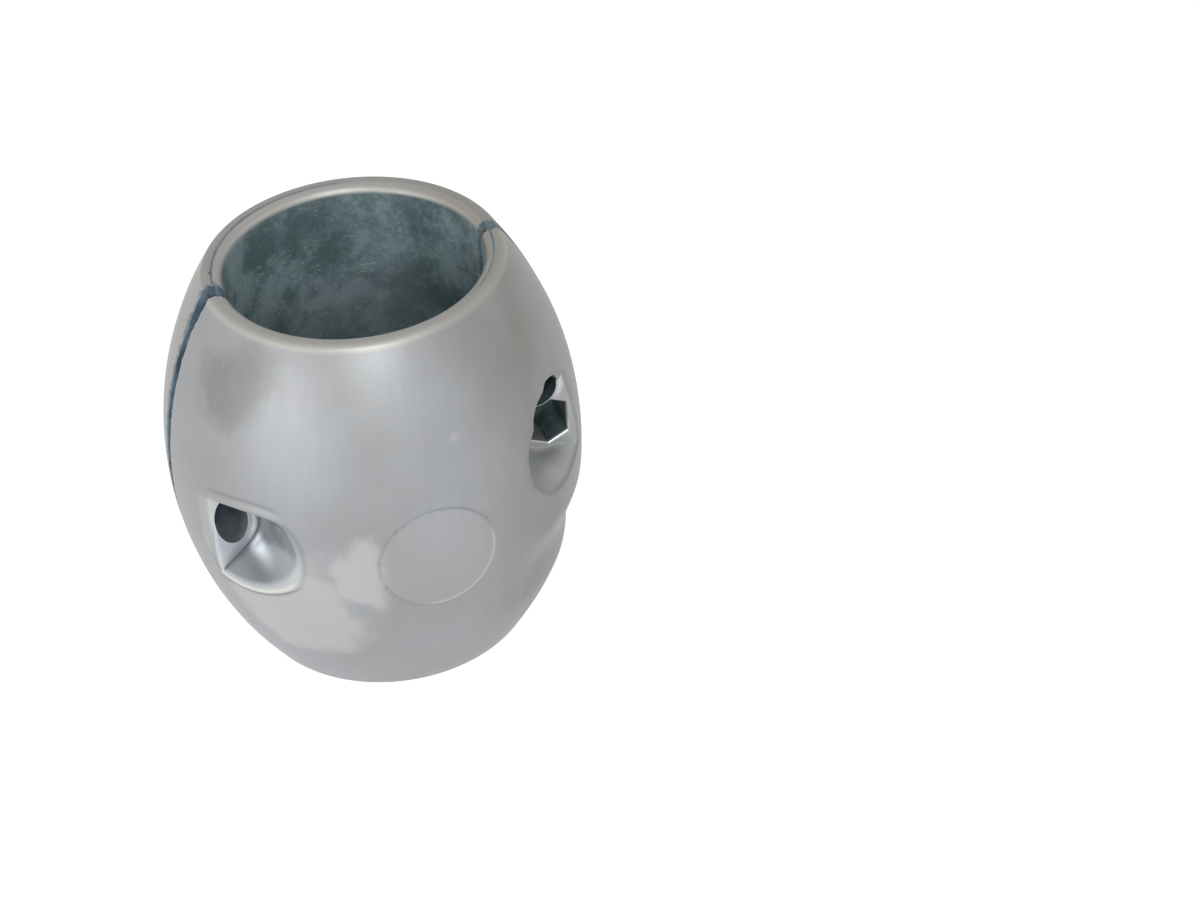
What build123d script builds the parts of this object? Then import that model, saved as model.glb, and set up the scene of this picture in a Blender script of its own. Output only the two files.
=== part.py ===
from build123d import *
import math
import os

os.makedirs("parts", exist_ok=True)

# All sizes are in millimetres. Z runs along the bore, Y is square to the parting face.
# The front half lies at minus Y, and the origin is the centre of the bore at mid length.

# Barrel: bore, walls at mid length and at the ends, half length and the open slot
bore_r = 30.0
mid_wall = 19.7
end_wall = 4.4
barrel_r = bore_r + mid_wall
end_r = bore_r + end_wall
half_len = 50.5
gap = 2.9

# Rounding of the rim, and the fine line cast into the end face
rim_in_r = 1.3
rim_out_r = 1.8
line_r = bore_r + 2.3
line_w = 0.45
line_deep = 0.3

# Bolt lines: the left one lies lower than the right one
left_bolt_out = 10.4
left_bolt_x = -(bore_r + left_bolt_out)
left_bolt_z = 1.6
right_bolt_out = 6.0
right_bolt_x = bore_r + right_bolt_out
right_bolt_z = 8.8
oval_w = 7.7
oval_h = 13.6
nut_hole_d = 7.7

# Pocket outlines in bore radii from the bolt line: first number outboard, second upwards.
# Each pocket widens from its floor outline to its open outline.
pocket_tall = 20.0
screw_floor_line = [
    (-0.2067, -0.0200), (-0.1933, -0.1267), (-0.1433, -0.2233), (-0.0500, -0.3167), (0.0533, -0.4033),
    (0.1700, -0.5000), (0.3333, -0.5667), (0.6533, -0.5667), (0.6533, 0.2467), (0.3333, 0.2467),
    (0.1533, 0.2533), (-0.0133, 0.2533), (-0.1200, 0.2133), (-0.1867, 0.1067),
]
screw_open_line = [
    (-0.3800, -0.0200), (-0.3700, -0.1533), (-0.3267, -0.2800), (-0.2467, -0.4200), (-0.1200, -0.6000),
    (0.0367, -0.7533), (0.2667, -0.8533), (0.6533, -0.8533), (0.6533, 0.3533), (0.3333, 0.3467),
    (0.0867, 0.3533), (-0.1467, 0.3467), (-0.3067, 0.2733), (-0.3633, 0.1300),
]
nut_floor_line = [
    (-0.2800, 0.0400), (-0.2567, -0.0867), (-0.1800, -0.1867), (-0.0333, -0.2533), (0.1000, -0.2467),
    (0.2300, -0.2733), (0.4633, -0.2800), (0.6967, -0.2800), (0.6967, 0.4300), (0.3633, 0.4300),
    (0.0667, 0.4200), (-0.1000, 0.3733), (-0.2233, 0.2633), (-0.2733, 0.1467),
]
nut_open_line = [
    (-0.3467, 0.0733), (-0.3267, -0.0600), (-0.2267, -0.2533), (-0.0500, -0.4433), (0.1167, -0.5267),
    (0.2833, -0.5400), (0.4633, -0.5400), (0.6967, -0.5400), (0.6967, 0.5667), (0.3633, 0.5667),
    (0.0167, 0.5467), (-0.1833, 0.4633), (-0.2733, 0.3467), (-0.3400, 0.2000),
]

# Pocket floors, as distances from the middle plane that follow the barrel radius
deep_cut = 29.0
shallow_cut = 25.7
screw_floor = barrel_r - deep_cut
nut_floor = barrel_r - shallow_cut
rear_screw_floor = barrel_r - shallow_cut
rear_nut_floor = barrel_r - deep_cut

# Hexagon seat for the nut, longer along the bore than across it
seat_half_w = 4.9
seat_side_half = 4.1
seat_half_h = 6.4
seat_deep = 11.0
rear_seat_deep = 8.0

# Round core hole beside the front seat, with a thin wall kept between them
core_in = 2.4
core_up = 10.4
core_x = right_bolt_x - core_in
core_z = right_bolt_z + core_up
core_r = 5.2
core_deep = 10.0
core_open = 20.0
core_wall = 0.6

# Soft edges round the pocket mouths and round the dent
mouth_r = 0.6
dent_edge_r = 2.5

# Round pad on the front, outlined by a low ridge
pad_x = 0.3
pad_z = -0.6
pad_r = 13.5
ridge_w = 0.6
ridge_high = 0.22
ring_tall = 20.0

# How far cutting tools run past what they cut
past = 5.0

# Shallow dent low on the right side of the front half
dent_in = 2.4
dent_turn = 28.1
dent_z = -20.6
dent_lean = 0.5
dent_ball_r = 24.0
dent_deep = 2.4


def barrel(extra):
    # Solid of revolution without the bore, grown outwards by extra
    with BuildSketch(Plane.XZ) as section:
        with BuildLine():
            side = ThreePointArc(
                (end_r + extra, -half_len), (barrel_r + extra, 0), (end_r + extra, half_len)
            )
            Line(side @ 1, (0, half_len))
            Line((0, half_len), (0, -half_len))
            Line((0, -half_len), side @ 0)
        make_face()
    return revolve(section.sketch, Axis.Z)


def rim_line(sign):
    # Small V groove ring at one end face
    with BuildSketch(Plane.XZ) as cut:
        with BuildLine():
            Polyline(
                (line_r - line_w / 2, sign * (half_len + 0.1)),
                (line_r, sign * (half_len - line_deep)),
                (line_r + line_w / 2, sign * (half_len + 0.1)),
                close=True,
            )
        make_face()
    return revolve(cut.sketch, Axis.Z)


def outward(side, x, z, depth):
    # Work plane square to Y at a given depth, looking out of the barrel on one side
    return Plane(origin=(x, side * depth, z), x_dir=(1, 0, 0), z_dir=(0, side, 0))


def end_edges(body, radius):
    # Round edges of one radius on the two end faces
    rings = body.edges().filter_by(GeomType.CIRCLE)
    return [ring for ring in rings if abs(ring.radius - radius) < 0.01]


def half_blank(side, shell):
    # One side of the barrel, up to the parting gap
    tall = half_len + past
    wide = barrel_r + past
    keep = Pos(0, side * (gap / 2 + wide / 2), 0) * Box(2 * wide, wide, 2 * tall)
    return shell & keep


def pocket(side, bolt_x, bolt_z, floor, low_line, high_line):
    # Drafted recess between two outlines, opened towards the outside
    hand = math.copysign(1, bolt_x)
    rings = []
    for line, depth in ((low_line, floor), (high_line, floor + pocket_tall)):
        dots = [(bolt_x + hand * u * bore_r, bolt_z + w * bore_r) for u, w in line]
        with BuildSketch(Plane.XZ.offset(-side * depth)) as ring:
            with BuildLine():
                Spline(*dots, periodic=True)
            make_face()
        rings.append(ring.sketch.face())
    return loft(rings, ruled=True)


def bolt_hole(side, bolt_x, bolt_z, wide, high):
    # Hole along Y through one half
    shape = Plane.XZ * Pos(bolt_x, bolt_z) * Ellipse(wide / 2, high / 2)
    return extrude(shape, -side * (barrel_r + past))


def nut_seat(side, bolt_x, bolt_z, floor, deep):
    # Six-sided seat sunk into a pocket floor
    corners = [
        (0, seat_half_h), (seat_half_w, seat_side_half), (seat_half_w, -seat_side_half),
        (0, -seat_half_h), (-seat_half_w, -seat_side_half), (-seat_half_w, seat_side_half),
    ]
    outline = outward(side, bolt_x, bolt_z, floor - deep) * Polygon(*corners)
    return extrude(outline, deep + 3, dir=(0, side, 0))


def soften(body):
    # Round the edges where the pockets open on the barrel
    skin = body.faces().sort_by(SortBy.AREA)[-1]
    for mouth in skin.inner_wires():
        body = fillet(mouth.edges(), mouth_r)
    return body


# Ring blank with its bore, rounded rims and rim lines
blank = barrel(0) - Cylinder(bore_r, 3 * half_len)
blank = fillet(end_edges(blank, bore_r), rim_in_r)
blank = fillet(end_edges(blank, end_r), rim_out_r)
blank = blank - rim_line(1) - rim_line(-1)

# Front half: screw pocket at the left, nut pocket at the right
front = half_blank(-1, blank)
front = front - pocket(
    -1, left_bolt_x, left_bolt_z, screw_floor, screw_floor_line, screw_open_line
)
front = front - pocket(-1, right_bolt_x, right_bolt_z, nut_floor, nut_floor_line, nut_open_line)
front = soften(front)
core_plane = outward(-1, core_x, core_z, nut_floor - core_deep)
core = extrude(core_plane * Circle(core_r), core_deep + core_open)
sleeve = extrude(core_plane * Circle(core_r + core_wall), core_deep)
seat = nut_seat(-1, right_bolt_x, right_bolt_z, nut_floor, seat_deep)
front = front - (seat - sleeve) - core
front = front - bolt_hole(-1, left_bolt_x, left_bolt_z, oval_w, oval_h)
front = front - bolt_hole(-1, right_bolt_x, right_bolt_z, nut_hole_d, nut_hole_d)

# Dent
turn = math.radians(dent_turn)
dent_r = barrel_r - dent_in
at = Vector(dent_r * math.cos(turn), -dent_r * math.sin(turn), dent_z)
away = Vector(at.X, at.Y, at.Z * dent_lean).normalized()
front = front - Pos(*(at + away * (dent_ball_r - dent_deep))) * Sphere(dent_ball_r)
hollow = front.faces().filter_by(GeomType.SPHERE).sort_by(SortBy.AREA)[-1]
front = fillet(hollow.edges(), dent_edge_r)

# Pad ridge, grown out of the front
ring = Cylinder(pad_r, ring_tall) - Cylinder(pad_r - ridge_w, ring_tall)
ring = outward(-1, pad_x, pad_z, barrel_r) * ring
front = front + ((ring & barrel(ridge_high)) - barrel(-1))

# Rear half: nut pocket on the left bolt line, screw pocket on the right one
rear = half_blank(1, blank)
rear = rear - pocket(1, left_bolt_x, left_bolt_z, rear_nut_floor, nut_floor_line, nut_open_line)
rear = rear - pocket(
    1, right_bolt_x, right_bolt_z, rear_screw_floor, screw_floor_line, screw_open_line
)
rear = soften(rear)
rear = rear - nut_seat(1, left_bolt_x, left_bolt_z, rear_nut_floor, rear_seat_deep)
rear = rear - bolt_hole(1, left_bolt_x, left_bolt_z, nut_hole_d, nut_hole_d)
rear = rear - bolt_hole(1, right_bolt_x, right_bolt_z, oval_w, oval_h)

print("front", len(front.solids()), round(front.volume), front.is_valid)
print("rear", len(rear.solids()), round(rear.volume), rear.is_valid)
export_step(front, "parts/front_half.step")
export_step(rear, "parts/rear_half.step")
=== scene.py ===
import bmesh
import bpy
import math
import numpy as np
from mathutils import Matrix, Vector


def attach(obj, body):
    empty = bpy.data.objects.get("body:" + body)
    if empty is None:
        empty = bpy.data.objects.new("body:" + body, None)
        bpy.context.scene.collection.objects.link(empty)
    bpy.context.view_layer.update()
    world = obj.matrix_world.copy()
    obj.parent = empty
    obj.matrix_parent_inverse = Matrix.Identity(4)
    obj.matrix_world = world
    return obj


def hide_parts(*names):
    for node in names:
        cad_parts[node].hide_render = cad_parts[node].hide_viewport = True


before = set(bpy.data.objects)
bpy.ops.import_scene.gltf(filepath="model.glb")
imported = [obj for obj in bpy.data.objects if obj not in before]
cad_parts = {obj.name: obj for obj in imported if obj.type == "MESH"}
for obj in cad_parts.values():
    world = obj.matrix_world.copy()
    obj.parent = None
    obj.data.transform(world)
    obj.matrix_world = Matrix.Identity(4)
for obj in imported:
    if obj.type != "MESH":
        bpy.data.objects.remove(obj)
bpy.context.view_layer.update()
scene = bpy.context.scene


# Values, in millimetres where nothing else is stated
MM = 0.001

# Barrel: bore, radius at mid length and at the ends, half length, half the open slot and the
# least that stays of it where its edges are torn, and the arc of the outside
BORE = 30.0
WIDE = 49.7
END = 34.4
HALF = 50.5
SLOT = 1.45
SLOT_LEAST = 1.0
ARC_R = (HALF ** 2 + (WIDE - END) ** 2) / (2 * (WIDE - END))
ARC_C = WIDE - ARC_R

# Rounding of the rim, and the fine line cast into it, as offsets from its middle and depths
RIM_IN = 2.8
RIM_OUT = 1.8
LINE_R = 32.3
LINE_HALF = 0.34
LINE_SHAPE = ((LINE_HALF, 0.0), (0.2, 0.07), (0.0, 0.26), (-0.2, 0.07), (-LINE_HALF, 0.0))

# Bolt lines, each as x and z
LEFT = (-40.4, 1.6)
RIGHT = (36.0, 8.8)

# Pocket floors, as distances from the middle plane
NEAR_FLOOR = 20.7
FAR_FLOOR = 24.0

# Pocket outlines from the bolt line, as outboard and up: on the floor, and WALL_TALL further
# out. The middle is the point that the walls are measured from.
WALL_TALL = 20.0
SCREW_LOW = [
    (-6.2, -0.6), (-5.8, -3.8), (-4.3, -6.7), (-1.5, -9.5), (1.6, -12.1), (5.1, -15.0),
    (10.0, -17.0), (19.6, -17.0), (19.6, 7.4), (10.0, 7.4), (4.6, 7.6), (-0.4, 7.6),
    (-3.6, 6.4), (-5.6, 3.2)]
SCREW_HIGH = [
    (-11.4, -0.6), (-11.1, -4.6), (-9.8, -8.4), (-7.4, -12.6), (-3.6, -18.0), (1.1, -22.6),
    (8.0, -25.6), (19.6, -25.6), (19.6, 10.6), (10.0, 10.4), (2.6, 10.6), (-4.4, 10.4),
    (-9.2, 8.2), (-10.9, 3.9)]
SCREW_MID = (3.0, -2.0)
NUT_LOW = [
    (-8.4, 1.2), (-7.7, -2.6), (-5.4, -5.6), (-1.0, -7.6), (3.0, -7.4), (6.9, -8.2),
    (13.9, -8.4), (20.9, -8.4), (20.9, 12.9), (10.9, 12.9), (2.0, 12.6), (-3.0, 11.2),
    (-6.7, 7.9), (-8.2, 4.4)]
NUT_HIGH = [
    (-10.4, 2.2), (-9.8, -1.8), (-6.8, -7.6), (-1.5, -13.3), (3.5, -15.8), (8.5, -16.2),
    (13.9, -16.2), (20.9, -16.2), (20.9, 17.0), (10.9, 17.0), (0.5, 16.4), (-5.5, 13.9),
    (-8.2, 10.4), (-10.2, 6.0)]
NUT_MID = (3.0, 2.0)

# Screw hole, oval on the screw side and round on the nut side, cut from past the parting face
HOLE_WIDE = 7.7
HOLE_TALL = 13.6
HOLE_FROM = -2.0

# How far from the middle plane the oval and the round hole reach, for each side
HOLE_TO = {-1.0: (22.5, 14.5), 1.0: (26.0, 14.0)}

# Hexagon seat for the nut and how much smaller the rear one is, and the round core hole beside
# the front one: outboard, up, radius, and the radius of the metal kept round it
SEAT = [(0.0, 6.4), (-4.9, 4.1), (-4.9, -4.1), (0.0, -6.4), (4.9, -4.1), (4.9, 4.1)]
REAR_SEAT_IN = 0.6
CORE = (-2.4, 10.4, 5.2)
SLEEVE_R = 5.8

# Cutters as pairs of distance from the middle plane and growth of the outline
FRONT_SEAT_LEVELS = ((13.0, 0.0), (19.0, 0.0), (22.6, 0.0), (23.7, 0.0), (24.02, 0.4), (26.0, 0.4))
REAR_SEAT_LEVELS = ((12.7, 0.0), (17.0, 0.0), (19.4, 0.0), (20.4, 0.0), (20.72, 0.2), (22.7, 0.2))
CORE_LEVELS = ((14.0, 0.0), (26.0, 0.0), (27.2, 1.2), (46.0, 1.5))

# Round pad on the front: x, z and radius, and how far its underside is sunk
PAD = (0.8, -1.8, 13.8)
PAD_SUNK = -1.0

# Dent low on the right of the front half: height, half its length, depth, and where it fades
# in and out, in degrees round the barrel
DENT_Z = -21.3
DENT_TALL = 11.4
DENT_DEEP = 1.75
DENT_IN = (0.0, 16.0)
DENT_OUT = (48.0, 84.0)

# Pits on the rim of each side: x, y, z and radius
PITS = {-1.0: ((31.5, -2.0, 50.3, 0.45), (34.0, -2.5, 50.4, 0.4)),
        1.0: ((-31.85, 7.3, 50.3, 0.42),)}

# Mesh: rows up to a height at one spacing, then fewer, and columns round the half as
# from and to in degrees and their width, fine over the pockets and coarser between
FINE_TO = 25.0
FINE_ROW = 0.31
ROUGH_ROWS = 27
COLUMNS = ((0, 22, 0.9), (22, 60, 0.32), (60, 120, 0.95), (120, 158, 0.32), (158, 180, 0.9))

# Marks on the surface, in metres
DARK_PATCH = (-0.0355, -0.0200, 0.0385)
PALE_PATCH = (-0.0320, -0.0365, -0.0145)
PALE_PATCH_TOP = (-0.0172, -0.0463, -0.0058)
MARK = (0.0080, -0.0446, 0.0280)

# Masks that are painted on the meshes and read by the material
MASKS = ("bore", "slot", "hollow", "recess", "edge", "grime", "shade")

# Depths of the casting's grain in the bump, in metres
GRAIN_DEEP = 0.000018
SWELL_DEEP = 0.00008
STREAK_DEEP = 0.000012


# Curve and field tools
def closed_spline(points, per=24):
    # Smooth closed curve through the points, spaced by chord length
    p = np.array(points, float)
    n = len(p)
    h = np.linalg.norm(np.roll(p, -1, 0) - p, axis=1)
    a = np.zeros((n, n))
    b = np.zeros((n, 2))
    for i in range(n):
        j, k = (i - 1) % n, (i + 1) % n
        a[i, j] += h[i]
        a[i, i] += 2 * (h[j] + h[i])
        a[i, k] += h[j]
        b[i] = 3 * (h[j] / h[i] * (p[k] - p[i]) + h[i] / h[j] * (p[i] - p[j]))
    slope = np.linalg.solve(a, b)
    out = []
    for i in range(n):
        k = (i + 1) % n
        s = (np.arange(per) / per)[:, None]
        leave, arrive = h[i] * slope[i], h[i] * slope[k]
        out.append((2 * s ** 3 - 3 * s ** 2 + 1) * p[i] + (s ** 3 - 2 * s ** 2 + s) * leave
                   + (-2 * s ** 3 + 3 * s ** 2) * p[k] + (s ** 3 - s ** 2) * arrive)
    return np.vstack(out)


def waves(p, size, seed, octaves=3):
    # Smooth random field from -1 to 1 at the points p, with bumps about size across
    rng = np.random.default_rng(seed)
    out = np.zeros(len(p))
    gain = 0.0
    for o in range(octaves):
        amp = 0.55 ** o
        for _ in range(7):
            d = rng.normal(size=3)
            d *= 2 * math.pi / (size / 1.9 ** o) / np.linalg.norm(d) * rng.uniform(0.6, 1.25)
            out += amp * np.sin(p @ d + rng.uniform(0, 6.28))
        gain += amp
    return out / (gain * 3.2)


def blend_min(a, b, k):
    # Lower of two depths with a soft corner k deep
    h = np.clip(0.5 + 0.5 * (b - a) / k, 0, 1)
    return b + (a - b) * h - k * h * (1 - h)


def step(v, lo, hi):
    # Smooth step of the values from lo to hi
    t = np.clip((v - lo) / (hi - lo), 0, 1)
    return t * t * (3 - 2 * t)


def bell(v, at, wide):
    # 1 where the values are at, falling off on both sides
    return np.exp(-((v - at) / wide) ** 2)


def barrel_radius(z):
    return ARC_C + np.sqrt(ARC_R ** 2 - z ** 2)


def barrel_depth(x, z):
    # Distance of the plain barrel surface from the middle plane
    r = barrel_radius(z)
    return np.sqrt(np.maximum(r * r - x * x, 0.5))


# Camera
def make_camera():
    # Camera solved from the photograph, in the frame of the part
    cam = bpy.data.cameras.new("camera")
    cam.sensor_fit = "HORIZONTAL"
    cam.sensor_width = 36.0
    cam.lens = 77.26
    cam.clip_start = 0.01
    cam.clip_end = 20.0
    right = Vector((0.936397, -0.347856, -0.046444))
    up = Vector((0.250813, 0.570777, 0.781861))
    back = Vector((-0.245466, -0.743781, 0.621721))
    turn = Matrix((right, up, back)).transposed().to_4x4()
    obj = bpy.data.objects.new("camera", cam)
    obj.matrix_world = Matrix.Translation((-0.102341, -0.481474, 0.378491)) @ turn
    scene.collection.objects.link(obj)
    scene.camera = obj


# Node helpers
class Tree:
    # Short way of adding and wiring shader nodes
    def __init__(self, tree):
        self.tree = tree
        self.tree.nodes.clear()

    def add(self, kind, props=None, **inputs):
        node = self.tree.nodes.new(kind)
        for key, value in (props or {}).items():
            setattr(node, key, value)
        for key, value in inputs.items():
            self.put(node, key, value)
        return node

    def put(self, node, key, value):
        # The key is a socket's name, or i and its number
        if key.startswith("i") and key[1:].isdigit():
            socket = node.inputs[int(key[1:])]
        else:
            socket = node.inputs[key.replace("_", " ")]
        if isinstance(value, bpy.types.NodeSocket):
            self.tree.links.new(value, socket)
        else:
            socket.default_value = value

    def math(self, op, a, b=0.0):
        return self.add("ShaderNodeMath", {"operation": op}, i0=a, i1=b).outputs[0]

    def times(self, a, b):
        return self.math("MULTIPLY", a, b)

    def plus(self, a, b):
        return self.math("ADD", a, b)

    def minus(self, a, b):
        return self.math("SUBTRACT", a, b)

    def most(self, first, *rest):
        for other in rest:
            first = self.math("MAXIMUM", first, other)
        return first

    def span(self, value, lo, hi, to_lo=0.0, to_hi=1.0):
        # Smooth step of a value from lo to hi
        props = {"clamp": True, "interpolation_type": "SMOOTHSTEP"}
        node = self.add("ShaderNodeMapRange", props, i0=value, i1=lo, i2=hi, i3=to_lo, i4=to_hi)
        return node.outputs[0]

    def noise(self, vector, scale, detail=3.0, rough=0.5):
        node = self.add("ShaderNodeTexNoise", Vector=vector, Scale=scale, Detail=detail,
                        Roughness=rough)
        return node.outputs[0]

    def mix(self, fac, a, b):
        node = self.add("ShaderNodeMix", {"data_type": "RGBA"}, i0=fac, i6=a, i7=b)
        return node.outputs[2]

    def seen(self):
        # 1 for rays that come straight from the camera, a reflection or a clear body
        path = self.add("ShaderNodeLightPath").outputs
        return self.most(path["Is Camera Ray"], path["Is Glossy Ray"], path["Is Transmission Ray"])


def rgb(r, g, b):
    # Colour as read from a picture, 0 to 255, turned into linear light
    out = []
    for v in (r, g, b):
        v /= 255.0
        out.append(v / 12.92 if v <= 0.04045 else ((v + 0.055) / 1.055) ** 2.4)
    return tuple(out) + (1.0,)


# Stage and light
def make_stage():
    floor_z = -HALF * MM
    reach = 6.0
    mesh = bpy.data.meshes.new("floor")
    mesh.from_pydata([(-reach, -reach, floor_z), (reach, -reach, floor_z),
                      (reach, reach, floor_z), (-reach, reach, floor_z)],
                     [], [(0, 1, 2, 3)])
    floor = bpy.data.objects.new("floor", mesh)
    scene.collection.objects.link(floor)
    mat = bpy.data.materials.new("floor")
    mat.use_nodes = True
    t = Tree(mat.node_tree)
    glow = t.add("ShaderNodeEmission", Color=(1.0, 1.0, 1.0, 1.0), Strength=t.times(t.seen(), 0.74))
    base = t.add("ShaderNodeBsdfDiffuse", Color=(0.62, 0.62, 0.63, 1.0))
    both = t.add("ShaderNodeAddShader", i0=glow.outputs[0], i1=base.outputs[0])
    t.add("ShaderNodeOutputMaterial", Surface=both.outputs[0])
    mesh.materials.append(mat)

    world = bpy.data.worlds.new("world")
    scene.world = world
    world.use_nodes = True
    t = Tree(world.node_tree)
    soft = t.add("ShaderNodeBackground", Color=(1.0, 1.0, 0.995, 1.0), Strength=0.5)
    white = t.add("ShaderNodeBackground", Color=(1.0, 1.0, 1.0, 1.0), Strength=1.0)
    pick = t.add("ShaderNodeMixShader", i0=t.seen(), i1=soft.outputs[0], i2=white.outputs[0])
    t.add("ShaderNodeOutputWorld", Surface=pick.outputs[0])

    def lamp(name, at, aim, size, watts, colour):
        light = bpy.data.lights.new(name, "AREA")
        light.shape = "DISK"
        light.size = size
        light.energy = watts
        light.color = colour
        obj = bpy.data.objects.new(name, light)
        obj.location = at
        away = Vector(aim) - Vector(at)
        obj.rotation_mode = "QUATERNION"
        obj.rotation_quaternion = away.to_track_quat("-Z", "Y")
        scene.collection.objects.link(obj)

    lamp("key", (-0.10, -0.92, 0.62), (0.0, 0.0, 0.01), 0.5, 3.6, (0.965, 0.985, 1.0))
    lamp("fill", (-0.98, -0.55, 0.08), (0.0, 0.0, 0.0), 0.8, 4.6, (0.97, 0.985, 1.0))


# Materials
class ZincTree(Tree):
    # Nodes of the casting's material, with the coordinates and noises that its parts share
    UNROLL_R = 0.045

    def __init__(self, tree):
        super().__init__(tree)
        self.place = self.add("ShaderNodeTexCoord").outputs["Object"]
        self.x, self.y, self.z = self.add("ShaderNodeSeparateXYZ", Vector=self.place).outputs
        self.arc = self.times(self.math("ARCTAN2", self.y, self.x), self.UNROLL_R)
        self.cloud = self.noise(self.place, 46.0, 6.0, 0.58)
        self.fine = self.noise(self.place, 260.0, 4.0, 0.6)
        self.streak = self.noise(self.along(1.0, 0.1), 900.0, 4.0, 0.6)

    def mask(self, label):
        return self.add("ShaderNodeAttribute", {"attribute_name": label}).outputs["Fac"]

    def along(self, across, up, tilt=0.0):
        # Coordinates on the unrolled barrel, stretched in each direction
        rise = self.plus(self.z, self.times(self.arc, tilt))
        return self.add("ShaderNodeCombineXYZ", X=self.times(self.arc, across),
                        Y=self.times(rise, up)).outputs[0]

    def spot(self, at, size, edge, core=0.35):
        # 1 near a point of the surface, fading with a cloudy edge
        gap = self.add("ShaderNodeVectorMath", {"operation": "DISTANCE"}, i0=self.place, i1=at)
        wander = self.times(self.minus(self.cloud, 0.5), edge)
        return self.span(self.plus(gap.outputs["Value"], wander), size, size * core)

    def scratch(self, across, tilt, scale):
        # Thin lines where a stretched noise passes its middle value
        field = self.noise(self.along(across, 1.0, tilt), scale, 1.0, 0.5)
        return self.span(self.math("ABSOLUTE", self.minus(field, 0.5)), 0.012, 0.002)


def skin_tone(t, recess, edge, grime, shade):
    # Outside of the casting: satin metal with patches, marks, brighter pockets, painted light and
    # shade
    broad = t.noise(t.place, 17.0, 3.0, 0.5)
    tone = t.mix(t.span(broad, 0.36, 0.64), rgb(157, 158, 159), rgb(163, 165, 168))
    # Painted shade: darker and warmer towards the right
    tone = t.mix(t.span(t.x, 0.004, 0.034, 0.0, 0.75), tone, rgb(131, 128, 121))
    tone = t.mix(t.times(t.span(t.cloud, 0.36, 0.66), 0.26), tone, rgb(178, 180, 183))
    tone = t.mix(t.times(t.span(t.streak, 0.35, 0.7), 0.09), tone, rgb(140, 142, 146))

    # Darker patch at the upper left
    dark_patch = t.times(t.spot(DARK_PATCH, 0.015, 0.03), t.span(t.fine, 0.3, 0.75, 0.3, 0.4))
    tone = t.mix(dark_patch, tone, rgb(98, 100, 98))
    # Paler patches on the lower left, kept off the pad
    pale_patch = t.most(t.spot(PALE_PATCH, 0.0215, 0.035, 0.62), t.spot(PALE_PATCH_TOP, 0.0115, 0.03, 0.6))
    off_pad = t.span(t.x, -0.0105, -0.0145, 0.0, 0.5)
    tone = t.mix(t.times(pale_patch, off_pad), tone, rgb(208, 208, 207))
    tone = t.mix(t.times(t.spot(MARK, 0.0018, 0.012), 0.22), tone, rgb(214, 214, 208))

    on_rim = t.span(t.z, 0.0486, 0.0496, 0.0, 0.4)
    on_rear = t.span(t.y, 0.0, 0.004, 0.0, 0.26)
    tone = t.mix(t.most(on_rim, on_rear), tone, rgb(174, 168, 154))
    shiny = t.mix(t.span(t.cloud, 0.35, 0.65), rgb(176, 182, 188), rgb(202, 206, 210))
    tone = t.mix(recess, tone, shiny)
    tone = t.mix(shade, tone, rgb(104, 108, 109))
    # Painted highlights from the edge mask, bluer and whiter inside the pockets
    highlight_tone = t.mix(recess, rgb(224, 223, 216), rgb(240, 246, 250))
    tone = t.mix(edge, tone, highlight_tone)
    # Grime, and painted shade in creases, grooves and corners
    return t.mix(t.times(grime, 0.75), tone, rgb(92, 96, 98))


def oxide_tone(t):
    # Bore: mottled blue-grey oxide with dust, specks and scratches, and painted light towards the
    # lower end
    mottle = t.noise(t.place, 84.0, 9.0, 0.68)
    flecks = t.noise(t.place, 1000.0, 4.0, 0.7)
    veil = t.noise(t.place, 30.0, 3.0, 0.55)
    tone = t.mix(t.span(mottle, 0.38, 0.66), rgb(97, 116, 120), rgb(152, 170, 174))
    tone = t.mix(t.times(t.span(veil, 0.48, 0.62), 0.3), tone, rgb(150, 164, 170))
    # Painted light: paler towards the lower end, where little light reaches into the bore
    tone = t.mix(t.span(t.z, 0.03, -0.03, 0.0, 0.4), tone, rgb(168, 186, 190))

    dust = t.times(t.span(flecks, 0.5, 0.62), t.span(mottle, 0.4, 0.58, 0.25, 1.0))
    tone = t.mix(t.times(dust, 0.5), tone, rgb(168, 184, 190))
    cells = t.add("ShaderNodeTexVoronoi", Vector=t.place, Scale=950.0).outputs["Distance"]
    speck = t.times(t.span(cells, 0.22, 0.1), t.span(t.noise(t.place, 190.0, 4.0, 0.65), 0.5, 0.6))
    tone = t.mix(t.times(speck, 0.75), tone, rgb(196, 208, 212))

    lines = t.most(t.scratch(0.045, 0.14, 420.0), t.scratch(0.05, -0.3, 330.0))
    lines = t.times(lines, t.span(t.noise(t.place, 70.0, 5.0, 0.65), 0.52, 0.62))
    return t.mix(t.times(lines, 0.6), tone, rgb(200, 212, 216))


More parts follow.
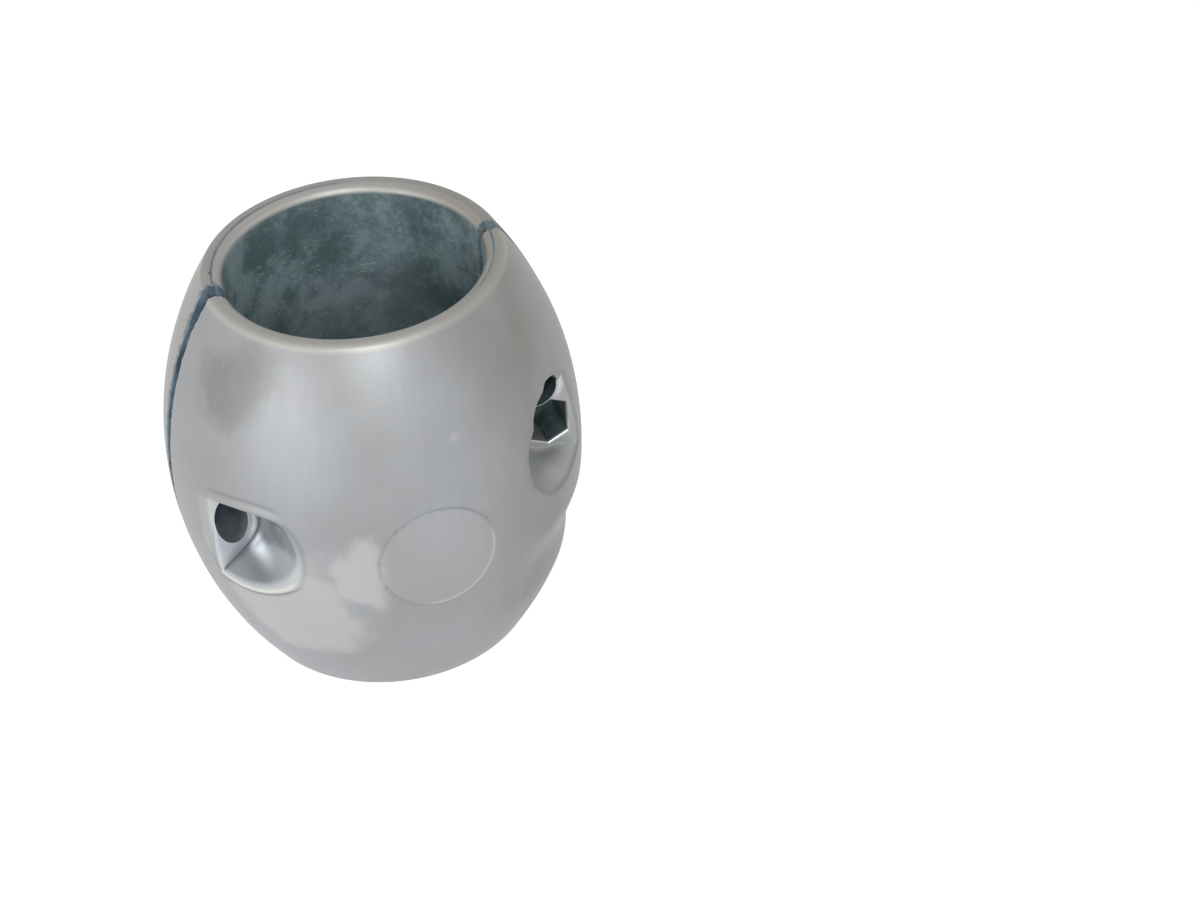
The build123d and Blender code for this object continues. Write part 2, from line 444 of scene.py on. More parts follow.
def zinc(name):
    # Satin cast zinc, with oxide in the bore, dull dark metal in the slot and painted shade in the
    # holes. The masks are painted on the mesh by paint_masks.
    mat = bpy.data.materials.new(name)
    mat.use_nodes = True
    t = ZincTree(mat.node_tree)
    bore, slot, hollow, recess, edge, grime, shade = (t.mask(label) for label in MASKS)

    oxide = oxide_tone(t)
    dull = t.mix(t.span(t.fine, 0.32, 0.7), rgb(76, 98, 112), rgb(124, 146, 158))
    dull = t.mix(t.span(t.x, -0.01, 0.01, 0.0, 0.7), dull, oxide)
    # Painted shade in the holes
    hole_shade_tone = t.mix(t.span(t.fine, 0.35, 0.7), rgb(60, 78, 78), rgb(102, 122, 122))
    colour = t.mix(bore, skin_tone(t, recess, edge, grime, shade), oxide)
    colour = t.mix(slot, colour, dull)
    colour = t.mix(hollow, colour, hole_shade_tone)

    dark = t.most(bore, slot, hollow)
    metal = t.plus(0.46, t.times(recess, t.minus(0.2, t.times(edge, 0.3))))
    metal = t.times(metal, t.minus(1.0, t.times(dark, 0.6)))
    rough = t.plus(0.44, t.times(t.minus(t.cloud, 0.5), 0.2))
    rough = t.plus(rough, t.times(t.minus(t.streak, 0.5), 0.1))
    rough = t.minus(rough, t.times(recess, 0.2))
    rough = t.plus(rough, t.times(dark, 0.12))

    grain = t.noise(t.place, 1500.0, 3.0, 0.55)
    swell = t.noise(t.place, 120.0, 2.0, 0.5)
    height = t.plus(t.times(grain, GRAIN_DEEP), t.times(swell, SWELL_DEEP))
    height = t.plus(height, t.times(t.streak, STREAK_DEEP))
    height = t.times(height, t.minus(1.0, t.times(recess, 0.85)))
    bump = t.add("ShaderNodeBump", Strength=1.0, Distance=1.0, Height=height)
    shader = t.add("ShaderNodeBsdfPrincipled", Base_Color=colour, Metallic=metal, Roughness=rough,
                   Normal=bump.outputs[0])
    t.add("ShaderNodeOutputMaterial", Surface=shader.outputs[0])
    return mat


# Pockets

# Distance that stands for nowhere near
FAR = 9.0


class Pocket:
    # Drafted recess: a flat floor, and walls that lean out from one outline to another.
    # The walls are kept as a table of radii from a middle point, by level and by angle.
    LEVELS = np.linspace(-0.25, 1.7, 40)
    SECTORS = 720

    def __init__(self, bolt, floor):
        self.bolt, self.floor = bolt, floor
        self.hand = 1.0 if bolt[0] > 0 else -1.0
        a, b = closed_spline(self.low), closed_spline(self.high)
        turns = np.linspace(-math.pi, math.pi, self.SECTORS + 1)
        rows = []
        for t in self.LEVELS:
            q = a + (b - a) * t - np.array(self.mid)
            ang = np.arctan2(q[:, 1], q[:, 0])
            rad = np.linalg.norm(q, axis=1)
            order = np.argsort(ang)
            rows.append(np.interp(turns, ang[order], rad[order], period=2 * math.pi))
        for i in range(1, len(rows)):
            rows[i] = np.maximum(rows[i], rows[i - 1] + 0.02)
        self.table = np.array(rows)

    def lips(self, edge, u, w):
        # How far the surface stands up near the mouth
        return 0.0

    def near(self, x, z):
        # Points of the barrel that the pocket can reach
        return (np.abs(z - self.bolt[1] + 4) < 27) & (x * self.hand > 12)

    def local(self, x, z):
        return self.hand * (x - self.bolt[0]), z - self.bolt[1]

    def rise(self, u, w):
        # 0 on the floor outline, 1 on the outline WALL_TALL further out
        du, dw = u - self.mid[0], w - self.mid[1]
        ang = np.arctan2(dw, du)
        rad = np.hypot(du, dw)
        f = (ang + math.pi) / (2 * math.pi) * self.SECTORS
        i = np.clip(f.astype(int), 0, self.SECTORS - 1)
        f = f - i
        rows = self.table[:, i] * (1 - f) + self.table[:, i + 1] * f
        k = np.clip((rows < rad).sum(0), 1, len(self.LEVELS) - 1)
        n = np.arange(len(rad))
        r0, r1 = rows[k - 1, n], rows[k, n]
        t0, t1 = self.LEVELS[k - 1], self.LEVELS[k]
        return t0 + (t1 - t0) * np.clip((rad - r0) / (r1 - r0), 0, 3)

    def wall(self, x, z):
        # Distance of the wall from the middle plane, over the floor and beyond the mouth too
        u, w = self.local(x, z)
        return self.floor + WALL_TALL * self.rise(u, w)

    def depth(self, x, z):
        return np.maximum(self.floor, self.wall(x, z))

    def mouth(self, x, z):
        # Distance to the line where the pocket opens on the barrel, positive outside it
        e = 0.08
        f = self.depth(x, z) - barrel_depth(x, z)
        fx = (self.depth(x + e, z) - barrel_depth(x + e, z) - f) / e
        fz = (self.depth(x, z + e) - barrel_depth(x, z + e) - f) / e
        return f / np.sqrt(fx * fx + fz * fz + 1e-6)

    def crease(self, x, z):
        # Step that takes a point onto the line between floor and wall, or FAR from any wall
        e = 0.05
        f = self.wall(x, z) - self.floor
        fx = (self.wall(x + e, z) - self.floor - f) / e
        fz = (self.wall(x, z + e) - self.floor - f) / e
        g = fx * fx + fz * fz + 1e-6
        return np.where(g < 1e-3, FAR, -f * fx / g), np.where(g < 1e-3, FAR, -f * fz / g)


class ScrewPocket(Pocket):
    low, high, mid = SCREW_LOW, SCREW_HIGH, SCREW_MID

    def soft(self, d, u, w):
        # Softness of the mouth: wide along the top, crisp along the bottom
        k = 0.7 + 2.2 * step(w, -9.0, 1.0)
        return np.where(d < self.floor + 0.01, 1.0 + 3.2 * step(w, -13.0, 5.0), k)

    def lip_zones(self, u, w):
        # Where the bead under the pocket runs, and the broad lip over it
        low = step(-w, 1.0, 6.0) * step(u + 14.0, 2.0, 6.0)
        high = step(w, 1.5, 7.0) * (1.0 - step(u, 3.0, 8.5)) * (1.0 - step(-u, 5.5, 10.0))
        return low, high

    def lips(self, edge, u, w):
        low, high = self.lip_zones(u, w)
        bead = 0.42 * bell(edge, 0.65, 0.66) - 0.22 * bell(edge, 2.0, 0.45)
        lip = 0.18 * bell(edge, 1.0, 0.85) - 0.14 * bell(edge, 2.6, 0.55)
        return np.where(edge > -1.2, low * bead + high * lip, 0)


class NutPocket(Pocket):
    low, high, mid = NUT_LOW, NUT_HIGH, NUT_MID

    def soft(self, d, u, w):
        # Softness of the mouth: wide along the bottom, crisp along the top
        k = 0.9 + 2.2 * step(-w, 4.0, 12.0)
        return np.where(d < self.floor + 0.01, 2.2, k)

    def seat_gap(self, u, w):
        # Signed distance from the hexagon seat's outline, positive outside
        out = np.full(np.shape(u), -99.0)
        for i, a in enumerate(SEAT):
            b = SEAT[(i + 1) % 6]
            ex, ez = b[0] - a[0], b[1] - a[1]
            out = np.maximum(out, ((u - a[0]) * ez - (w - a[1]) * ex) / math.hypot(ex, ez))
        return out


# Painted masks
class Paint:
    # Masks of one casting, added up from where each of its points lies
    def __init__(self, mesh, side):
        count = len(mesh.vertices)
        co = np.empty(count * 3)
        mesh.vertices.foreach_get("co", co)
        self.mesh, self.side = mesh, side
        self.p = co.reshape(-1, 3) / MM
        self.x, self.z = self.p[:, 0], self.p[:, 2]
        self.radius = np.hypot(self.x, self.p[:, 1])
        self.depth = np.abs(self.p[:, 1])
        self.rag = waves(self.p, 2.2, 9, 3)
        for label in MASKS:
            setattr(self, label, np.zeros(count))

    def store(self):
        for label in MASKS:
            layer = self.mesh.attributes.new(label, "FLOAT", "POINT")
            values = np.clip(getattr(self, label), 0, 1).astype(np.float32)
            layer.data.foreach_set("value", values)

    def paint_parting(self, walls):
        # The bore, the parting faces, and darkening along the torn slot edges of the rear half
        self.bore = 1.0 - step(self.radius + 0.02 * self.rag, BORE + 0.03, BORE + 0.14)
        chips = waves(self.p, 1.1, 21, 3)
        for sign, outline, wall in walls:
            idx = np.nonzero((self.x * sign > 25) & (self.depth < 6.0))[0]
            at = np.stack([self.radius[idx], self.z[idx]], 1)
            far = ((at[:, None, :] - outline[None, :, :]) ** 2).sum(2)
            past = self.depth[idx] - wall[far.argmin(1)]
            self.slot[idx] = 1.0 - step(past, 0.03, 0.25)
            if self.side > 0:
                torn = bell(past, 0.38, 0.3) * step(chips[idx], -0.05, 0.15)
                self.grime[idx] += (1.5 if sign < 0 else 0.7) * torn

    def paint_rim(self):
        # Shade and light on the crown of the rim, and the fine line where it isn't worn away
        crown = self.z > HALF - 3.5
        if self.side > 0:
            kept = 0.25 + 0.75 * step(-self.x, -14.0, -2.0)
            top = self.z > HALF - 0.6
            self.shade += 0.22 * top * step(self.radius, LINE_R - 0.1, LINE_R + 0.2)
            self.edge += 0.3 * crown * bell(self.radius, BORE + 0.4, 0.28)
        else:
            kept = step(self.x, 16.0, 28.0)
            past_bore = step(self.radius, BORE + 0.5, BORE + 1.4)
            self.shade += 0.14 * crown * past_bore * (1.0 - step(self.radius, 33.5, 34.0))
            bright = 0.27 - 0.2 * step(self.x, 0.0, 20.0)
            self.edge += bright * bell(self.z, HALF - 0.68, 0.5) * (self.radius > 33.4)
        line = 0.85 * kept * crown * bell(self.radius, LINE_R, 0.28)
        self.slot = np.maximum(self.slot, line)

    def paint_pocket(self, pocket):
        # What both kinds of pocket share, round the method for the pocket's own kind
        u, w = pocket.local(self.x, self.z)
        near = pocket.near(self.x, self.z) & (self.radius > 31)
        opened = near & (self.depth > pocket.floor - 0.35)
        gap = np.where(opened, pocket.mouth(self.x, self.z), FAR)
        fold = np.where(opened, np.hypot(*pocket.crease(self.x, self.z)), FAR)
        inner = step(-gap, 0.3, 0.9)
        screw = isinstance(pocket, ScrewPocket)
        own = self.paint_screw_pocket if screw else self.paint_nut_pocket
        dark, clear = own(pocket, u, w, near, gap, fold, inner)
        # Painted shade in the holes, darker further below the floor
        deep = 1.0 - step(self.depth, pocket.floor - clear, pocket.floor - 0.25)
        inside = dark * deep * step(self.depth, 1.6, 2.4) * near
        self.hollow = np.maximum(self.hollow, inside)
        self.recess = np.maximum(self.recess, step(-gap, -0.3, 0.7) * (1.0 if screw else 0.4))
        if not screw and self.side < 0:
            self.paint_core_hole(u, w, near, opened * (gap < 0.0))

    def paint_screw_pocket(self, pocket, u, w, near, gap, fold, inner):
        # Returns where the painted shade of the hole goes, and how far below the floor its wall
        # stays clear
        low, high = pocket.lip_zones(u, w)
        on_wall = inner * (self.depth > pocket.floor + 0.5)
        on_floor = inner * (self.depth <= pocket.floor + 0.5)
        # Painted highlights on the bead under the mouth, on the lip over it and on the floor beside
        # the hole
        self.edge += 0.85 * low * bell(gap, 0.5, 0.62) + 0.06 * high * bell(gap, 1.0, 0.7)
        self.edge += 0.6 * on_floor * bell(fold, 1.7, 1.0) * step(w, -7.5, -3.0)
        # Painted shade in the crease, in the grooves by the bead and the lip, and along the mouth
        self.grime += 1.5 * inner * bell(fold, 0.0, 0.28) + 0.8 * low * bell(gap, 1.95, 0.42)
        self.grime += 0.42 * high * (bell(gap, 2.6, 0.5) + 1.3 * bell(gap, -0.2, 0.3))
        plain = (1.0 - low) * (1.0 - high) * step(-u, 2.0, 7.0)
        self.grime += 0.35 * bell(gap, 0.6, 0.5) * plain

        # Painted highlight as a bright blob on the wall, and painted shade on the floor and wall,
        # deepest under the blob
        blob = bell(np.hypot((u + 4.5) / 1.5, (w + 6.4) / 1.9), 0.0, 1.0)
        under = bell(np.hypot((u + 3.2) / 2.4, (w + 11.6) / 2.6), 0.0, 1.0)
        self.edge += 1.6 * on_wall * blob
        self.shade += 0.18 * on_floor + on_wall * (0.52 - blob + 0.24 * under)

        # Rolled edge on the outboard side, narrow at its lower end, with a painted highlight on it
        # and painted shade beyond it
        away = pocket.mouth(self.x, self.z)
        roll = 0.6 + 1.5 * step(w, -12.0, -5.0) + 1.2 * step(w, 1.0, 6.0)
        outer = near * (self.depth > pocket.floor - 4.0) * step(u, 1.5, 4.0)
        outer = outer * step(w, -14.0, -11.0) * (1.0 - step(w, 6.0, 8.5))
        self.edge += 0.17 * outer * step(away, -1.6, -0.2) * (1.0 - step(away, 0.55 * roll, roll))
        self.edge += 0.4 * outer * bell(away, -0.5, 0.6) * step(w, -5.0, 1.0)
        self.grime += 0.16 * outer * bell(away, roll + 0.1, 0.35)
        return np.hypot(u / 3.95, w / 6.9) < 1.02, 2.6

    def paint_nut_pocket(self, pocket, u, w, near, gap, fold, inner):
        # Returns the same as paint_screw_pocket, with painted light on two walls of the seat
        seat = pocket.seat_gap(u, w) + (REAR_SEAT_IN if self.side > 0 else 0.0)
        lower = step(-w, 0.0, 3.0)
        # Painted highlights on the crease and round the seat's rim, painted shade along the mouth
        # and inside
        self.edge += 0.26 * inner * bell(fold, 0.0, 0.35) * lower
        self.grime += 0.26 * bell(gap, 0.3, 0.6)
        self.shade += 0.1 * step(-gap, -0.2, 0.8)
        rimmed = near & (np.abs(self.depth - pocket.floor) < 0.6)
        self.edge += rimmed * bell(seat, 0.2, 0.3) * (0.15 + 0.55 * lower * step(u, -1.0, 1.0))
        lit = step(-w, 1.0, 2.5) * step(-u, 0.2, 1.0) * step(seat, -0.5, -0.1)
        right_wall = step(u, 0.5, 3.0) * step(w, -2.5, 1.0)
        return (seat < 0.15) * (1.0 - 0.75 * lit) * (1.0 - 0.75 * right_wall), 1.2

    def paint_core_hole(self, u, w, near, opened):
        # Painted shade in the core hole, and a painted highlight round the lit side of its mouth
        du, dw = u - CORE[0], w - CORE[1]
        far = np.hypot(du, dw)
        inside = near * (far < CORE[2] + 0.1) * (1.0 - step(self.depth, 27.0, 28.0))
        self.hollow = np.maximum(self.hollow, inside)
        turn = np.degrees(np.arctan2(dw, du))
        lit = step(turn, -50.0, -20.0) * (1.0 - step(turn, 60.0, 85.0))
        self.edge += 0.6 * opened * bell(far, CORE[2] + 1.0, 0.8) * lit

    def paint_pad(self):
        # Grime and painted shade round the pad's edge, less of it along the lower right, where a
        # painted highlight runs, and a slightly paler face
        far = np.hypot(self.x - PAD[0], self.z - PAD[1])
        front = self.p[:, 1] < -20
        lit = step(self.x - self.z, 9.0, 16.0)
        ring = front * bell(far, PAD[2] + 0.12, 0.3) * (0.6 + 0.4 * self.rag)
        self.grime += 0.55 * ring * (1.0 - 0.8 * lit)
        self.edge += 0.5 * front * bell(far, PAD[2] - 0.35, 0.3) * lit
        self.edge += 0.06 * front * (1.0 - step(far, PAD[2] - 0.9, PAD[2] - 0.2))


def paint_masks(mesh, side, pockets, walls):
    paint = Paint(mesh, side)
    paint.paint_parting(walls)
    paint.paint_rim()
    for pocket in pockets:
        paint.paint_pocket(pocket)
    if side < 0:
        paint.paint_pad()
    paint.store()


# Half casting
def rim_height(r):
    # Height of the rounded rim at a radius, inside its flat top
    inset = np.maximum(BORE + RIM_IN - r, 0.0)
    return HALF - RIM_IN + np.sqrt(np.maximum(RIM_IN ** 2 - inset ** 2, 0.0))


def rim_profile():
    # Closed outline of the wall in radius and height, up the outside and down the bore,
    # and the number of its points above the middle that lie on the outside
    round_r = ARC_C + math.sqrt((ARC_R - RIM_OUT) ** 2 - (HALF - RIM_OUT) ** 2)
    round_z = HALF - RIM_OUT
    start = math.atan2(round_z, round_r - ARC_C)
    fine = np.arange(0.0, FINE_TO, FINE_ROW)
    rough = np.linspace(FINE_TO, ARC_R * math.sin(start), ROUGH_ROWS)
    z = np.concatenate([fine, rough[:-1]])
    upper = [(barrel_radius(v), v) for v in z]
    for a in np.linspace(start, math.pi / 2, 7):
        upper.append((round_r + RIM_OUT * math.cos(a), round_z + RIM_OUT * math.sin(a)))
    upper.append((BORE + RIM_IN, HALF))
    for off, dip in LINE_SHAPE:
        upper.append((LINE_R + off, float(rim_height(LINE_R + off)) - dip))
    start = math.acos((LINE_R - LINE_HALF - BORE - RIM_IN) / RIM_IN)
    for a in np.linspace(start, math.pi, 9)[1:]:
        upper.append((BORE + RIM_IN + RIM_IN * math.cos(a), HALF - RIM_IN + RIM_IN * math.sin(a)))
    for v in np.linspace(HALF - RIM_IN, 0.0, 16)[1:]:
        upper.append((BORE, v))
    lower = [(r, -v) for r, v in upper[::-1] if v > 1e-9]
    return np.array(upper + lower), len(z)


def settle(p, side, seed):
    # Slow unevenness of the casting, always inwards, and a flatter place that carries the pad
    push = 0.14 * np.clip(waves(p, 26.0, seed + 3, 2) * 0.5 + 0.5, 0, 1)
    if side < 0:
        far = np.hypot(p[:, 0] - PAD[0], p[:, 2] - PAD[1])
        push += 0.22 * (1 - step(far, 12.5, 19.0)) * (p[:, 1] > 20)
    return push


def line_strength(side, t):
    # The fine line on the rim is worn away along the front left, and faint along the rear right
    if side > 0:
        return 0.35 + 0.65 * float(step(np.array(t), 0.25, 0.5))
    return 1.0 - 0.92 * float(step(np.array(t), 0.22, 0.42))


def slot_edge(side, right, r, z, seed):
    # Where the parting face lies at each point of the wall's outline, and the radius of its
    # edge. The left slot is torn all the way down, the right one mostly near the top.
    sign = 1.0 if right else -1.0
    line = np.stack([sign * r, np.zeros(len(r)), z], 1)
    shuffle = 0 if right else 11
    chip = np.clip(waves(line, 3.4, seed + shuffle, 4), -1, 1)
    chew = np.clip(waves(line, 1.3, seed + 5 + shuffle, 3), -1, 1)
    torn = 0.12 + 0.88 * step(z, 12.0, 30.0) if right else 1.0
    top = step(z, 40.0, 50.0)
    soft = 0.42 + torn * (0.22 * chip + 0.16 * np.maximum(chew, 0))
    shift = torn * (0.16 * chip + 0.16 * chew)
    if side < 0:
        soft += (0.45 if right else 0.75) * top
        shift += (0.0 if right else 0.12) * top
    elif right:
        notch = 0.95 * bell(r, LINE_R + 0.4, 1.3) + 0.3 * chew
        shift += notch * step(z, 46.5, 49.8)
        shift += (0.25 + 0.4 * chew) * (r < BORE + 0.2) * step(z, -5.0, 30.0)
    else:
        shift += (0.4 + 0.3 * chip + 0.22 * chew) * step(z, 2.0, 30.0) + 0.45 * top
    return np.maximum(SLOT + shift, SLOT_LEAST), np.maximum(soft, 0.12)


def press_dent(p, outer):
    # Dent low on the right of the front half
    radius = np.hypot(p[:, 0], p[:, 1])
    turn = np.degrees(np.arctan2(p[:, 1], p[:, 0]))
    tall = np.clip(1 - ((p[:, 2] - DENT_Z) / DENT_TALL) ** 2, 0, 1) ** 2
    dent = DENT_DEEP * tall * step(turn, *DENT_IN) * (1 - step(turn, *DENT_OUT))
    scale = np.where(outer, radius - dent, radius) / radius
    p[:, 0] *= scale
    p[:, 1] *= scale


def sink_pocket(p, outer, pocket, pinned):
    # A point outside the pocket surface drops onto it. Points near the line between floor and
    # wall move onto it first, so that it stays crisp.
    idx = np.nonzero(outer & pocket.near(p[:, 0], p[:, 2]))[0]
    x, y, z = p[idx, 0], p[idx, 1], p[idx, 2]
    dx, dz = pocket.crease(x, z)
    close = (np.hypot(dx, dz) < 0.16) & (y > pocket.floor + 0.3)
    x = np.where(close, x + dx, x)
    z = np.where(close, z + dz, z)
    pinned[idx[close]] = True
    d = pocket.depth(x, z)
    u, w = pocket.local(x, z)
    fade = step(y, pocket.floor - 5.0, pocket.floor - 2.5)
    y = y + (blend_min(y, d, pocket.soft(d, u, w)) - y) * fade
    grow = 1 + pocket.lips(pocket.mouth(x, z), u, w) * fade / np.hypot(x, y)
    p[idx, 0], p[idx, 1], p[idx, 2] = x * grow, y * grow, z


def skin_faces(n_cols, count, pinned):
    # Quads between the columns, split along the crease of a pocket, and a cap at each end
    faces = []
    for base in range(0, (n_cols - 1) * count, count):
        up = base + count
        for i in range(count):
            j = (i + 1) % count
            q = (base + i, up + i, up + j, base + j)
            if pinned[q[0]] and pinned[q[2]]:
                faces += [(q[0], q[1], q[2]), (q[0], q[2], q[3])]
            elif pinned[q[1]] and pinned[q[3]]:
                faces += [(q[1], q[2], q[3]), (q[1], q[3], q[0])]
            else:
                faces.append(q)
    faces.append(tuple(range(count)))
    faces.append(tuple(range((n_cols - 1) * count, n_cols * count))[::-1])
    return faces


def half_mesh(name, side, pockets, seed):
    # Built towards +Y in millimetres, and turned to its own side at the end
    loop, n_outer = rim_profile()
    count = len(loop)
    r, z = loop[:, 0], loop[:, 1]
    run = np.roll(loop, -1, 0) - np.roll(loop, 1, 0)
    out_r, out_z = run[:, 1], -run[:, 0]
    size = np.hypot(out_r, out_z)
    out_r, out_z = out_r / size, out_z / size

    # Columns that round the edge of each parting face
    ends, walls = [], []
    for right in (True, False):
        sign = 1.0 if right else -1.0
        wall, soft = slot_edge(side, right, r, z, seed)
        cols = []
        for a in np.arange(4) * math.pi / 8:
            y = wall + soft * (1 - math.cos(a))
            inset = soft * (1 - math.sin(a))
            rr, zz = r - out_r * inset, z - out_z * inset
            cols.append(np.stack([sign * np.sqrt(rr ** 2 - y ** 2), y, zz], 1))
        ends.append((cols, np.arcsin((wall + soft) / r)))
        walls.append((sign, loop, wall))

    # Columns between them, with the fine line filled in where it is worn away
    turns = [np.linspace(lo, hi, int(math.radians(hi - lo) * WIDE / width), endpoint=False)
             for lo, hi, width in COLUMNS]
    turns = np.concatenate(turns + [[180.0]]) / 180.0
    (first, a0), (last, a1) = ends
    a1 = math.pi - a1
    on_line = (np.abs(r - LINE_R) < LINE_HALF + 0.02) & (np.abs(z) > HALF - 0.6)
    dip = np.where(on_line, rim_height(r) - np.abs(z), 0.0)
    rings = list(first)
    for t in turns:
        a = a0 + (a1 - a0) * t
        filled = z + np.sign(z) * dip * (1 - line_strength(side, t))
        rings.append(np.stack([r * np.cos(a), r * np.sin(a), filled], 1))
    rings += last[::-1]
    p = np.array(rings).reshape(-1, 3)

    # Dent, pockets and unevenness on the outside
    row = np.tile(np.arange(count), len(rings))
    outer = (row < n_outer) | (row > count - n_outer)
    if side < 0:
        press_dent(p, outer)
    pinned = np.zeros(len(p), bool)
    for pocket in pockets:
        sink_pocket(p, outer, pocket, pinned)
    push = np.where(outer, settle(p, side, seed), 0) / np.hypot(p[:, 0], p[:, 1])
    p[:, 0] -= push * p[:, 0]
    p[:, 1] -= push * p[:, 1]

    p = p * np.array((1.0, side, 1.0)) * MM
    faces = skin_faces(len(rings), count, pinned)
    if side < 0:
        faces = [f[::-1] for f in faces]
    mesh = bpy.data.meshes.new(name)
    mesh.from_pydata(p.tolist(), [], faces)
    mesh.update()
    return mesh, walls


# Cutters
def closed(name, points, faces):
    # Object from points and faces, with every face looking outwards
    mesh = bpy.data.meshes.new(name)
    mesh.from_pydata(points, [], faces)
    work = bmesh.new()
    work.from_mesh(mesh)
    bmesh.ops.recalc_face_normals(work, faces=work.faces)
    work.to_mesh(mesh)
    work.free()
    obj = bpy.data.objects.new(name, mesh)
    scene.collection.objects.link(obj)
    return obj


def prism(name, rings):
    # Closed solid through a stack of outlines, each a list of (x, y, z) in millimetres
    n = len(rings[0])
    points = [tuple(MM * v for v in q) for ring in rings for q in ring]
    faces = [tuple(range(n))[::-1], tuple(range((len(rings) - 1) * n, len(rings) * n))]
    for k in range(len(rings) - 1):
        for i in range(n):
            j = (i + 1) % n
            faces.append((k * n + i, k * n + j, (k + 1) * n + j, (k + 1) * n + i))
    return closed(name, points, faces)


def ring(outline, bolt, side, depth, grow=0.0):
    # Outline in the pocket's own numbers, put at a depth from the middle plane
    hand = 1.0 if bolt[0] > 0 else -1.0
    out = []
    for u, w in outline:
        f = 1.0 + grow / math.hypot(u, w)
        out.append((bolt[0] + hand * u * f, side * depth, bolt[1] + w * f))
    return out


def oval(wide, tall, count):
    turns = [2 * math.pi * k / count for k in range(count)]
    return [(wide / 2 * math.cos(a), tall / 2 * math.sin(a)) for a in turns]


def core_outline(grow):
    # Circle of the core hole, grown only over its upper right
    out = []
    for a in range(0, 360, 5):
        part = float(step(np.array(a), 25.0, 58.0) * (1 - step(np.array(a), 84.0, 100.0)))
        r, turn = CORE[2] + grow * part, math.radians(a)
        out.append((CORE[0] + r * math.cos(turn), CORE[1] + r * math.sin(turn)))
    return out


def seat_outline(cut):
    # Six-sided outline, with the part near the core hole kept as metal
    dense = []
    for i, a in enumerate(SEAT):
        b = SEAT[(i + 1) % 6]
        for s in range(12):
            dense.append((a[0] + (b[0] - a[0]) * s / 12, a[1] + (b[1] - a[1]) * s / 12))
    if not cut:
        return dense
    out = []
    for u, w in dense:
        du, dw = u - CORE[0], w - CORE[1]
        if math.hypot(du, dw) < SLEEVE_R:
            w = CORE[1] - math.sqrt(SLEEVE_R ** 2 - du ** 2)
        out.append((u, w))
    return out


def pad_disc(side, seed):
    # Low round pad with a rounded shoulder, following the barrel: its section as radius and
    # height, from the middle of the sunk underside over the rim to the middle of the face
    count = 168
    rim = PAD[2]
    rows = [(0.0, PAD_SUNK), (rim, PAD_SUNK), (rim, 0.05), (rim - 0.06, 0.09), (rim - 0.18, 0.13),
            (rim - 0.38, 0.16), (rim - 0.7, 0.175), (rim - 1.3, 0.17), (11.2, 0.15), (9.6, 0.125),
            (7.6, 0.105), (5.4, 0.095), (3.0, 0.09), (0.0, 0.09)]
    flat, high = [], []
    for r, h in rows:
        for k in range(count if r else 1):
            a = 2 * math.pi * k / count
            flat.append((PAD[0] + r * math.cos(a), PAD[1] + r * math.sin(a)))
            high.append(h)
    flat, high = np.array(flat), np.array(high)
    p = np.stack([flat[:, 0], barrel_depth(flat[:, 0], flat[:, 1]), flat[:, 1]], 1)
    radius = np.hypot(p[:, 0], p[:, 1])
    scale = 1 + (high - settle(p, side, seed)) / radius
    p[:, 0] *= scale
    p[:, 1] *= scale
    p = p * np.array((1.0, side, 1.0)) * MM
    faces = []
    last = len(p) - 1
    for k in range(count):
        j = (k + 1) % count
        faces.append((0, 1 + k, 1 + j))
        for m in range(len(rows) - 3):
            b = 1 + m * count
            faces.append((b + k, b + count + k, b + count + j, b + j))
        faces.append((last, last - count + j, last - count + k))
    return closed("pad", p.tolist(), faces)


def pit(x, y, z, size):
    # Small rough ball that leaves a pit in the casting
    work = bmesh.new()
    bmesh.ops.create_icosphere(work, subdivisions=2, radius=size * MM)
    mesh = bpy.data.meshes.new("pit")
    work.to_mesh(mesh)
    work.free()
    mesh.transform(Matrix.Translation((x * MM, y * MM, z * MM)))
    obj = bpy.data.objects.new("pit", mesh)
    scene.collection.objects.link(obj)
    return obj


def carve(obj, cutter, how="DIFFERENCE"):
    # Cuts the cutter from the object or joins it on, and removes the cutter
    mod = obj.modifiers.new("cut", "BOOLEAN")
    mod.operation = how
    mod.solver = "MANIFOLD"
    mod.object = cutter
    dg = bpy.context.evaluated_depsgraph_get()
    fresh = bpy.data.meshes.new_from_object(obj.evaluated_get(dg))
    obj.modifiers.clear()
    old = obj.data
    obj.data = fresh
    bpy.data.meshes.remove(old)
    mesh = cutter.data
    bpy.data.objects.remove(cutter)
    bpy.data.meshes.remove(mesh)


def weld(mesh):
    # Joins points that lie on one another and drops the slivers that cutting leaves
    work = bmesh.new()
    work.from_mesh(mesh)
    bmesh.ops.remove_doubles(work, verts=work.verts, dist=4e-6)
    bmesh.ops.dissolve_degenerate(work, edges=work.edges, dist=1e-6)
    work.to_mesh(mesh)
    work.free()


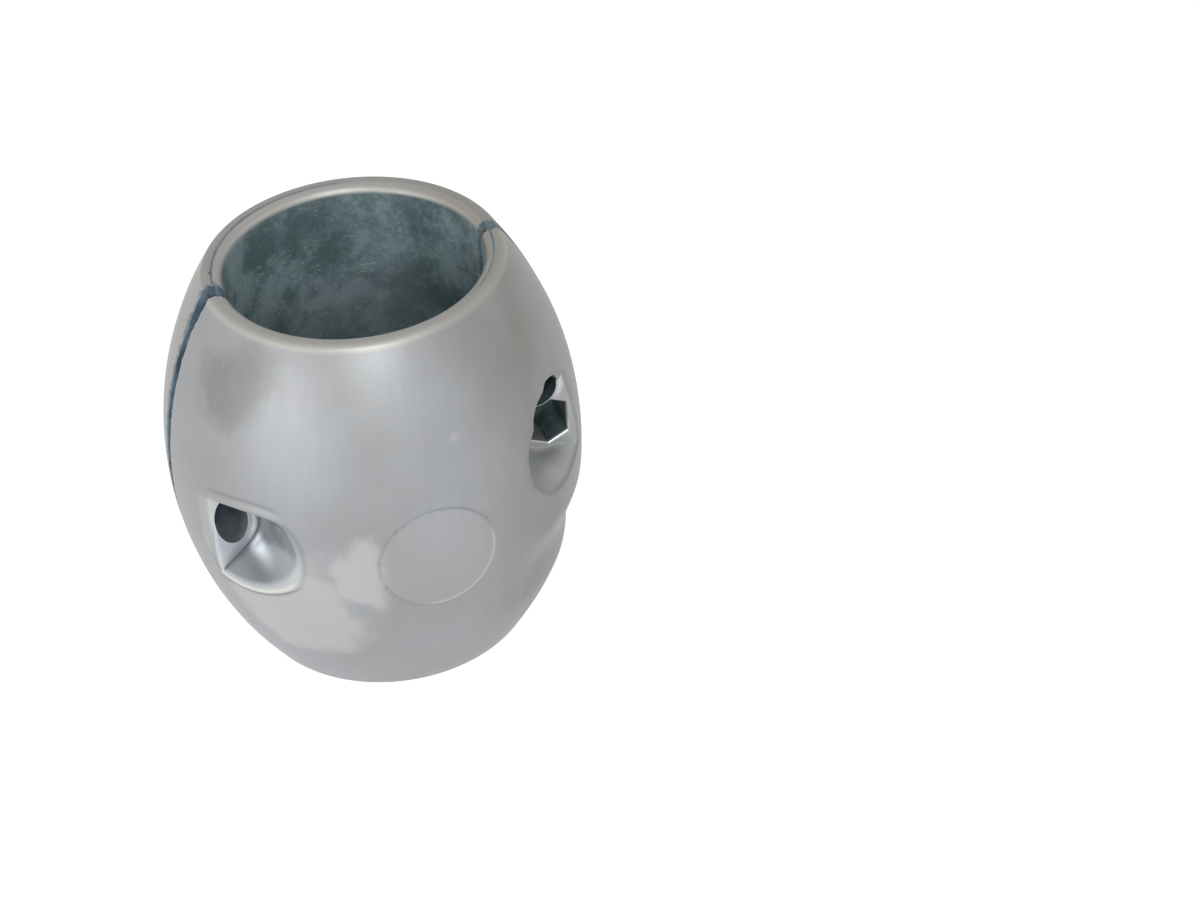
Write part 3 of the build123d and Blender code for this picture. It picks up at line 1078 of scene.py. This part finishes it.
def cut_holes(obj, side, screw_at, nut_at):
    # The nut seat, the core hole beside the front one, and the two bolt holes
    def cutter(name, outline, bolt, levels):
        rings = [ring(outline, bolt, side, depth, grow) for depth, grow in levels]
        carve(obj, prism(name, rings))

    if side < 0:
        cutter("seat", seat_outline(True), nut_at, FRONT_SEAT_LEVELS)
        rings = [ring(core_outline(grow), nut_at, side, depth) for depth, grow in CORE_LEVELS]
        carve(obj, prism("core", rings))
    else:
        levels = [(depth, grow - REAR_SEAT_IN) for depth, grow in REAR_SEAT_LEVELS]
        cutter("seat", seat_outline(False), nut_at, levels)
    oval_levels, round_levels = (((HOLE_FROM, 0.0), (to, 0.0)) for to in HOLE_TO[side])
    cutter("oval_hole", oval(HOLE_WIDE, HOLE_TALL, 64), screw_at, oval_levels)
    cutter("round_hole", oval(HOLE_WIDE, HOLE_WIDE, 48), nut_at, round_levels)


def make_half(name, side, node, seed):
    # Front half: screw pocket at the left, nut pocket at the right. Rear half: their partners.
    if side < 0:
        screw, nut = ScrewPocket(LEFT, NEAR_FLOOR), NutPocket(RIGHT, FAR_FLOOR)
    else:
        screw, nut = ScrewPocket(RIGHT, FAR_FLOOR), NutPocket(LEFT, NEAR_FLOOR)
    pockets = (screw, nut)
    mesh, walls = half_mesh(name, side, pockets, seed)
    obj = bpy.data.objects.new(name, mesh)
    scene.collection.objects.link(obj)
    cut_holes(obj, side, screw.bolt, nut.bolt)
    if side < 0:
        carve(obj, pad_disc(side, seed), "UNION")
    for hole in PITS[side]:
        carve(obj, pit(*hole))
    mesh = obj.data
    weld(mesh)
    paint_masks(mesh, side, pockets, walls)
    mesh.polygons.foreach_set("use_smooth", [True] * len(mesh.polygons))
    mesh.set_sharp_from_angle(angle=math.radians(38))
    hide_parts(node)
    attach(obj, "root")
    return obj


# The scene
make_camera()
make_stage()
for piece, side, node, slot_name, seed in (
        ("front_casting", -1.0, "front_half", "zinc_front", 5),
        ("rear_casting", 1.0, "rear_half", "zinc_rear", 71)):
    obj = make_half(piece, side, node, seed)
    obj.data.materials.clear()
    obj.data.materials.append(zinc(slot_name))

scene.view_settings.view_transform = "Standard"
bpy.context.view_layer.update()
